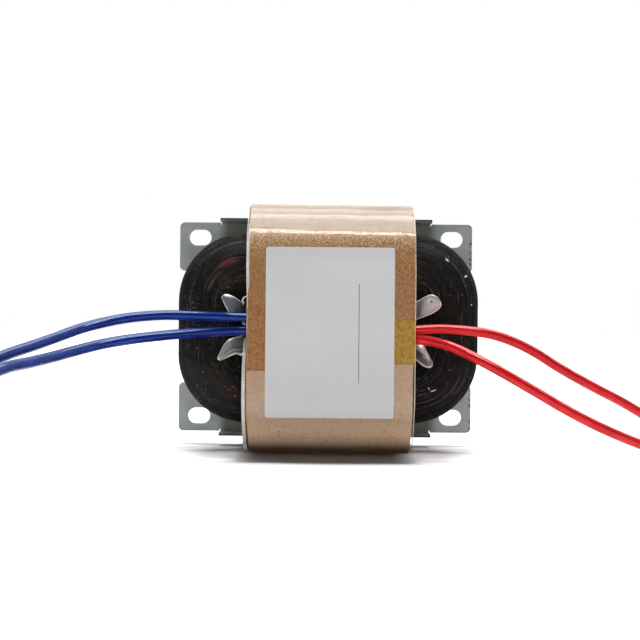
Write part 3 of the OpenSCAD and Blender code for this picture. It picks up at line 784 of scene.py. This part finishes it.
def bobbin(node, up, side):
    """Half a bobbin. up is 1 for an upper and -1 for a lower one, side is -1 in front and 1 at the back."""
    lo, hi = box_mm(node)
    middle = C[2] + up * PITCH / 2
    rim = max(hi[2] - middle, middle - lo[2])
    front = side < 0

    def out(a, r):
        # a is 0 at the middle of the belt's side (away from the window), and 180 at the window
        t = math.radians(a)
        return C[1] + side * r * math.sin(t), middle + up * r * math.cos(t)

    flat = WINDOW_HALF - PITCH / 2
    top = math.degrees(math.acos(flat / rim))
    outline = []
    for i in range(TEETH * TOOTH_STEPS + 1):
        a = 180.0 * i / (TEETH * TOOTH_STEPS)
        if a > top:
            break
        depth = 0.0 if i % TOOTH_STEPS in (1, 2) else TOOTH_DEPTH
        if up > 0 and front and 20 < a < 74:
            # This half is cut away at its shoulder
            depth = 4.6 * smooth(a, 20, 24) * (1 - smooth(a, 68.2, 69.8))
        outline.append(out(a, rim - depth))
    if front:
        low = math.degrees(math.acos(-math.sqrt(rim ** 2 - HORN ** 2) / rim))
        outline += [out(top + (low - top) * i / 6, rim - 0.1 - 0.5 * (i / 6) ** 2) for i in range(1, 7)]
        outline.append((C[1] + side * HORN, middle + up * flat))
    outline.append((C[1], middle + up * flat))
    outline += [out(180.0 * (1 - i / 32), TUBE_IN) for i in range(33)]
    solid = Solid()
    arc = [1 + 2.9 * i for i in range(41)]
    for x0, x1, face in ((lo[0], lo[0] + FLANGE_T, lo[0]), (hi[0] - FLANGE_T, hi[0], hi[0])):
        solid.prism_x(outline, x0, x1)
        # Two raised rings on the outer face
        for r0, r1 in ((TUBE_OUT + 0.1, TUBE_OUT + 0.9), (rim - 2.1, rim - 1.5)):
            solid.prism_x([out(a, r1) for a in arc] + [out(a, r0) for a in arc[::-1]], face - 0.1, face + 0.1)
    arc = [180 * i / 40 for i in range(41)]
    tube = [out(a, TUBE_OUT) for a in arc] + [out(a, TUBE_IN) for a in arc[::-1]]
    solid.prism_x(tube, lo[0] + FLANGE_T, hi[0] - FLANGE_T)
    piece(node + "_moulding", solid.v, solid.f, plastic, [node], sharp=35)


for place, up in (("upper", 1), ("lower", -1)):
    for half, side in (("front", -1), ("back", 1)):
        bobbin(f"{place}_bobbin_{half}", up, side)

# ------ windings, coil tape and lead pads
s = copper = Shade("enamelled_copper", (0.16, 0.045, 0.015), rough=0.3, metal=0.85)
wires = s.ripples(s.x, 0.55)
s.paint(s.span(wires, -1, 0.2), (0.55, 0.22, 0.08))
s.bump(wires, 0.12)
s = coil = Shade("coil_tape", (0.50, 0.33, 0.075), rough=0.25)
s.paint(s.span(s.ripples(s.x, 9.0), 0.6, 0.95), (0.36, 0.22, 0.04))
s.bump(s.noise(0.8, stretch=(0.3, 1, 1)), 0.08, 0.7)
# These pieces show as their CAD nodes
for name, ob in nodes.items():
    mat = copper if name.endswith("_winding") else coil if name.endswith(("_coil_tape", "_anchor")) else None
    if mat:
        ob.data.materials.clear()
        ob.data.materials.append(mat.m)

# ------ bracket
s = plate = Shade("bracket_steel", (0.345, 0.395, 0.380), rough=0.45, metal=0.4)
brushed = s.noise(1.5, 4, 0.6, stretch=(0.12, 1, 1.6))
from_x, from_z = s.off(s.x, C[0]), s.off(s.z, C[2])
s.paint(s.span(s.noise(0.12), 0.3, 0.7), (0.450, 0.475, 0.447))
s.paint(s.span(brushed, 0.55, 0.75), (0.45, 0.46, 0.44), 0.35)
# Painted shade: the steel under the flanges is painted darker
painted_flange_shade = s.both(s.span(from_z, 23.0, 27.5), s.fall(from_x, 31.5, 35.5))
s.paint(painted_flange_shade, (0.095, 0.108, 0.080), 0.80)
# The front edges of the flanges are dark
flange_z, flange_y = PLATE_HI[2] - C[2], PLATE_LO[1]
lip = s.both(s.span(from_z, flange_z - 0.55, flange_z - 0.30), s.fall(s.y, flange_y + 0.3, flange_y + 0.6))
s.paint(lip, (0.03, 0.035, 0.03), 0.85)
# Dark specks, and more of them along the outer edge of the right ears
spots = s.both(s.span(s.cells(0.8), 0.16, 0.08), s.span(s.noise(0.3), 0.5, 0.6))
edge_specks = s.both(s.span(s.x, PLATE_HI[0] - 1.0, PLATE_HI[0] - 0.5),
                     s.span(s.noise(1.3, 2, move=(3, 3, 3)), 0.50, 0.57))
s.paint(s.any(s.both(spots, 0.7), s.both(edge_specks, 0.8)), (0.05, 0.045, 0.04))
s.rough(brushed, 0.34, 0.52)
s.bump(brushed, 0.02, 0.6)

# The plate is its CAD node with the flat faces made whole and the edges broken
data = nodes["bracket_plate"].data.copy()
data.shade_flat()
ob = add_piece("bracket_plate_sheet", data, plate, ["bracket_plate"])
modifier(ob, "WELD", merge_threshold=1e-6)
modifier(ob, "DECIMATE", decimate_type="DISSOLVE", angle_limit=math.radians(1.5))
modifier(ob, "BEVEL", width=0.12 * MM, segments=2, limit_method="ANGLE", angle_limit=math.radians(35))

# ------ straps
s = zinc = Shade("strap_steel", (0.44, 0.45, 0.42), rough=0.36, metal=0.5)
rolled, dents = s.noise(1.2, 4, 0.6, stretch=(1, 1, 0.25)), s.noise(0.5)
# The map's first coordinate is the distance from the nearest edge of a tongue. Its second, the lane, is the
# place across the tongue, 0 to 1, plus 2 for each tongue before it: left upper, left lower, right upper
from_edge, lane, _ = s.axes(s.maps["UV"])
from_x = s.off(s.x, C[0])
# Painted reflections: the right tongues are painted warmer and the left upper one darker
s.paint(s.span(lane, 3.2, 3.8), (0.45, 0.405, 0.39))
s.paint(s.fall(lane, 1.2, 1.8), (0.20, 0.225, 0.24))
s.paint(s.span(dents, 0.35, 0.7), (0.44, 0.43, 0.42), 0.25)
s.paint(s.span(s.noise(1.6, move=(3, 9, 2)), 0.64, 0.74), (0.12, 0.09, 0.08), 0.7)
# Painted shade: dark at the root, and two dark crease lines in the left lower tongue
s.paint(s.fall(from_x, 24.8, 29.5), (0.10, 0.097, 0.088), 0.75)
crease_shade = s.any(s.band(lane, 2.50, 2.55, 2.55, 2.63), s.band(lane, 2.72, 2.78, 2.78, 2.85))
s.paint(s.both(crease_shade, s.fall(from_x, 29.5, 30.5), 0.8), (0.04, 0.042, 0.040))
# The right lower tongue is painted dark in its lower half and bright in its upper half: painted reflection
# and painted highlight
s.paint(s.band(lane, 6.42, 6.50, 6.83, 6.90), (0.115, 0.095, 0.105), 0.8)
s.paint(s.band(lane, 5.99, 6.02, 6.38, 6.44), (0.74, 0.72, 0.70), 0.75)
scuffs = s.both(s.spot(29.2, 8.9, 1.0, 0.7, 1.6, 0.6), s.span(s.noise(2.4, 3, 0.7), 0.45, 0.6))
s.paint(scuffs, (0.90, 0.88, 0.84), 0.8)
# The sheared edges are painted bright, as painted highlights
rim = s.span(from_edge, 0.012, 0.045, 1.0, 0.0)
lip_highlights = s.any(s.band(lane, 2.86, 2.90, 3.1, 3.5), s.both(s.span(lane, 6.88, 6.93), 0.9))
s.paint(s.any(s.both(rim, 0.85), lip_highlights), (0.93, 0.92, 0.89))
s.paint(s.any(s.spot(29.7, 8.0, 0.28, 0.2, 1.5, -0.8), s.spot(28.8, 7.4, 0.16, 0.12)), (0.06, 0.045, 0.04))
s.rough(rolled, 0.28, 0.44)
s.bump(rolled, 0.02, 0.6)
s.bump(dents, 0.10, 0.6)

# Each row is one section of a tongue, from the strap to the tip: upper edge, then lower edge,
# as (x, y, z) from the middle of the core with x outwards, and how far its middle bows out
TONGUES = {
    "left": [
        [((24.3, -5, 5.4), (24.3, -5, 0.3), 0), ((24.6, -8.8, 6.6), (24.5, -8.8, 1.4), 0),
         ((25.6, -10.4, 7.7), (25.2, -10.4, 2.4), 0), ((26.9, -10.8, 8.6), (25.9, -11.0, 2.6), 0.1),
         ((28.5, -11.0, 9.4), (26.8, -11.4, 2.8), 0.2), ((30.4, -11.0, 9.6), (27.8, -11.4, 2.9), 0.2),
         ((31.3, -11.0, 8.7), (28.4, -11.4, 3.2), 0.1)],
        [((24.3, -5, -0.3), (24.3, -5, -5.4), 0), ((25.0, -8.8, -2.2), (24.4, -8.6, -7.4), 0),
         ((27.4, -10.4, -2.9), (25.3, -9.9, -8.2), 0.8), ((29.0, -11.0, -3.6), (26.6, -10.4, -7.8), 1.3),
         ((30.4, -11.2, -5.1), (28.4, -10.8, -8.4), 1.2), ((31.3, -11.4, -7.0), (29.9, -11.1, -9.1), 0.8),
         ((32.2, -11.6, -8.9), (31.5, -11.4, -9.7), 0.1)],
    ],
    "right": [
        [((24.3, -5, 5.4), (24.3, -5, 0.3), 0), ((24.6, -8.8, 7.4), (24.7, -8.8, 2.1), 0),
         ((26.2, -10.2, 8.4), (26.2, -9.6, 2.9), 0.1), ((28.0, -10.9, 9.5), (28.0, -9.9, 3.6), 0.2),
         ((29.7, -11.2, 10.1), (30.3, -10.2, 4.6), 0.3), ((31.3, -11.2, 9.6), (32.1, -10.6, 5.9), 0.3),
         ((32.4, -11.1, 8.4), (32.8, -10.9, 7.0), 0.1)],
        [((24.3, -5, -0.3), (24.3, -5, -5.4), 0), ((24.7, -8.8, -3.0), (24.6, -8.8, -8.2), 0.3),
         ((25.9, -9.6, -3.8), (25.9, -10.6, -9.4), 0.9), ((27.6, -10.0, -4.6), (27.3, -11.3, -10.6), 1.4),
         ((28.4, -10.4, -5.7), (28.4, -11.8, -11.1), 1.4), ((29.3, -10.8, -7.4), (29.3, -12.0, -11.2), 1.0),
         ((30.3, -11.0, -9.5), (30.2, -11.8, -10.7), 0.3)],
    ],
}
# How far each tongue's upper and lower edges are rolled back by the shears
ROLLS = {"left": [(0.42, 0.1), (0.1, 0.30)], "right": [(0.22, 0.15), (0.1, 0.30)]}
ACROSS = (0, 0.04, 0.09, 0.16, 0.27, 0.4, 0.5, 0.6, 0.73, 0.84, 0.91, 0.96, 1)
STEPS = len(ACROSS) - 1
TONGUE_T = 0.75
# How far across a tongue its fold lies, and how wide the rolled edges are
FOLD, ROLL_W = 0.6, 0.17


def blend_rows(rows, n):
    """Catmull-Rom through the rows."""
    out = []
    for i in range(len(rows) - 1):
        p = [rows[max(0, i - 1)], rows[i], rows[i + 1], rows[min(len(rows) - 1, i + 2)]]
        for k in range(n):
            t = k / n
            w = (-0.5 * t ** 3 + t * t - 0.5 * t, 1.5 * t ** 3 - 2.5 * t * t + 1,
                 -1.5 * t ** 3 + 2 * t * t + 0.5 * t, 0.5 * t ** 3 - 0.5 * t * t)
            out.append(sum(wi * pi for wi, pi in zip(w, p)))
    return out + [rows[-1]]


def tongue_grid(rows, roll_top, roll_low):
    """Points of a tongue's outer face, indexed [along][across], from the middle of the core."""
    sharp_fold = rows[3][2] > 0.9
    grid = []
    for line in blend_rows([np.array([*a, *b, bow], float) for a, b, bow in rows], 6):
        row = []
        reach = smooth(line[0], 25.5, 28.5)
        for t in ACROSS:
            p = line[:3] + (line[3:6] - line[:3]) * t
            # The fold lies a little past the middle
            fold = t / FOLD if t < FOLD else (1 - t) / (1 - FOLD)
            p[1] -= line[6] * (fold if sharp_fold else 4 * t * (1 - t))
            rolled_top, rolled_low = max(0, 1 - t / ROLL_W) ** 2, max(0, 1 - (1 - t) / ROLL_W) ** 2
            p[1] += reach * (roll_top * rolled_top + roll_low * rolled_low)
            row.append(p)
        grid.append(row)
    return np.array(grid)


def strap(side, m, first):
    """A strap with its two tongues. m is the sign of its side, and first the number of its upper tongue."""
    s = Solid()
    corners = [(C[0] + m * x, y, C[2] + z) for x in (STRAP_IN, STRAP_IN + STRAP_T)
               for y in (C[1] - 5.0, PLATE_HI[1]) for z in (-STRAP_HALF_W, STRAP_HALF_W)]
    s.add(corners, [[0, 1, 3, 2], [4, 6, 7, 5], [0, 4, 5, 1], [2, 3, 7, 6], [0, 2, 6, 4], [1, 5, 7, 3]])
    # The strap itself lies off the tongues' map
    place = [(1.0, 9.0)] * 8
    for number, (rows, rolls) in enumerate(zip(TONGUES[side], ROLLS[side]), first):
        g = tongue_grid(rows, *rolls)
        normal = np.cross(np.gradient(g, axis=0), np.gradient(g, axis=1))
        normal /= np.linalg.norm(normal, axis=2, keepdims=True)
        if normal[-4, STEPS // 2, 1] > 0:
            normal = -normal
        mirror = np.array([m, 1, 1])
        s.add(*slab(C + g * mirror, C + (g - normal * TONGUE_T) * mirror, closed=False))
        # Distances from the upper edge, the lower edge and the tip
        gaps = [np.linalg.norm(g - edge, axis=2) for edge in (g[:, :1], g[:, -1:], g[-1:])]
        near = np.minimum.reduce(gaps) / 10
        place += [(near[i, k], 2 * number + t) for i in range(len(g)) for k, t in enumerate(ACROSS)] * 2
    ob = piece(side + "_strap_strip", s.v, s.f, zinc, [side + "_strap"], sharp=38,
               uv=[place[i] for f in s.f for i in f])
    bm = bmesh.new()
    bm.from_mesh(ob.data)
    bmesh.ops.recalc_face_normals(bm, faces=bm.faces)
    bm.to_mesh(ob.data)
    bm.free()
    modifier(ob, "BEVEL", width=0.16 * MM, segments=2, limit_method="ANGLE", angle_limit=math.radians(50))


strap("left", -1, 0)
strap("right", 1, 2)

# ------ tie thread, a loose loop at the left edge of the belt
THREAD = [Vector(p) for p in ((-23.6, -12.4, 9.0), (-24.2, -12.9, 8.9), (-24.6, -13.2, 8.5),
                              (-24.85, -13.3, 8.0), (-24.85, -13.2, 7.55), (-24.5, -12.4, 7.2))]
rings, n, last = [], 24, len(THREAD) - 1
for i in range(n):
    t = i / (n - 1) * last
    k = min(int(t), last - 1)
    p = THREAD[k].lerp(THREAD[k + 1], smooth(t - k, -0.2, 1.2))
    d = (THREAD[min(k + 2, last)] - THREAD[max(k - 1, 0)]).normalized()
    a = d.cross(Vector((0, 1, 0))).normalized()
    rings.append(ring_points(Vector(C) + p, a, a.cross(d), 0.22 + 0.04 * math.sin(i * 1.7), 10))
thread = Solid()
thread.tube(rings)
piece("tie_thread", thread.v, thread.f, plastic, sharp=60)

# ------ stage and light
me = bpy.data.meshes.new("floor")
me.from_pydata([(-3, -0.62, 0), (3, -0.62, 0), (3, 3, 0), (-3, 3, 0), (-3, -3, 0), (3, -3, 0)], [],
               [(0, 1, 2, 3), (4, 5, 1, 0)])
floor = bpy.data.objects.new("floor", me)
scene.collection.objects.link(floor)
s = table = Shade("floor", (0.86, 0.86, 0.86))
rays = s.node("LightPath").outputs
away, from_x, from_y = s.length(s.at()), s.off(s.x), s.off(s.y)
# Far off and behind the object it glows as white as the room
haze = s.both(s.seen(rays), s.span(away, 60, 1600, 0.0, 0.95), s.span(s.y, -400, 300, 0.12, 1.0))
# Painted light: in front the floor glows for diffuse rays, and so lights the object from below
glow = s.both(s.span(away, 45, 100, 0.0, 0.74), s.fall(s.y, -30, 50),
              s.fall(away, 500, 1200), s.span(from_x, 46, 72, 1, 0.12), rays["Is Diffuse Ray"])
# Painted light: beside the belt the floor glows to the camera, which fades the half-shadow into the white
# table
beside = s.both(s.span(from_x, 19, 31, 0.0, 0.46), s.fall(s.y, -10, 2))
wash = s.both(s.sum(s.span(from_x, 30, 56, 0.0, 0.30), beside), rays["Is Camera Ray"])
# Painted shadow: the floor is painted darker right under the belt
under = s.both(s.fall(from_y, 25.5, 29.5), s.fall(from_x, 21, 30))
paint = s.node("BsdfDiffuse", {"Color": s.span(under, 0, 1, 0.86, 0.37)}).outputs[0]
light = s.node("Emission", {"Strength": s.sum(haze, glow, wash)}).outputs[0]
s.show(s.node("AddShader", {0: paint, 1: light}).outputs[0])
me.materials.append(s.m)

scene.world = bpy.data.worlds.new("world")
room = Tree(scene.world)
rays = room.node("LightPath").outputs
back = room.axes(room.node("TexCoord").outputs["Generated"])[1]
# Camera and transmission rays see plain white, glossy rays see the room dim in front, the rest is light
mirrored = room.choose(rays["Is Glossy Ray"], 1.0, room.span(back, 0.0, 0.55, 0.08, 1.0))
level = room.choose(room.seen(rays), room.span(back, 0.08, 0.50, 0.04, 0.85), mirrored)
background = room.tree.nodes["Background"]
room.put(background.inputs["Color"], (1, 1, 1))
room.put(background.inputs["Strength"], level)

# Angle in the YZ plane from the camera's side over the top, distance, width, height, radiance. The first four
# are what glossy surfaces see, and the last three light the rest
LAMPS = {
    "strip_front": (62.9, 0.95, 0.60, 0.125, 21.0), "soft_box": (82, 1.0, 0.60, 0.44, 5.9),
    "strip_glare": (100.4, 0.95, 2.6, 0.21, 8.8), "soft_back": (118, 1.1, 1.2, 0.38, 3.0),
    "key": (100.4, 1.0, 0.8, 0.09, 61.5), "high_back": (118, 1.1, 1.2, 0.38, 1.6),
    "fill_front": (4.8, 1.4, 1.0, 0.22, 6.0),
}
AIM = Vector((0, 0, 0.037))
for i, (name, (angle, distance, wide, high, radiance)) in enumerate(LAMPS.items()):
    a = math.radians(angle)
    lamp = bpy.data.lights.new(name, "AREA")
    lamp.shape = "RECTANGLE"
    lamp.size, lamp.size_y = wide, high
    lamp.energy = radiance * wide * high * math.pi
    ob = bpy.data.objects.new(name, lamp)
    ob.location = AIM + Vector((0, -math.cos(a), math.sin(a))) * distance
    ob.rotation_euler = (AIM - ob.location).to_track_quat("-Z", "Y").to_euler()
    ob.visible_glossy, ob.visible_diffuse = i < 4, i >= 4
    scene.collection.objects.link(ob)
scene.view_settings.view_transform = "Standard"
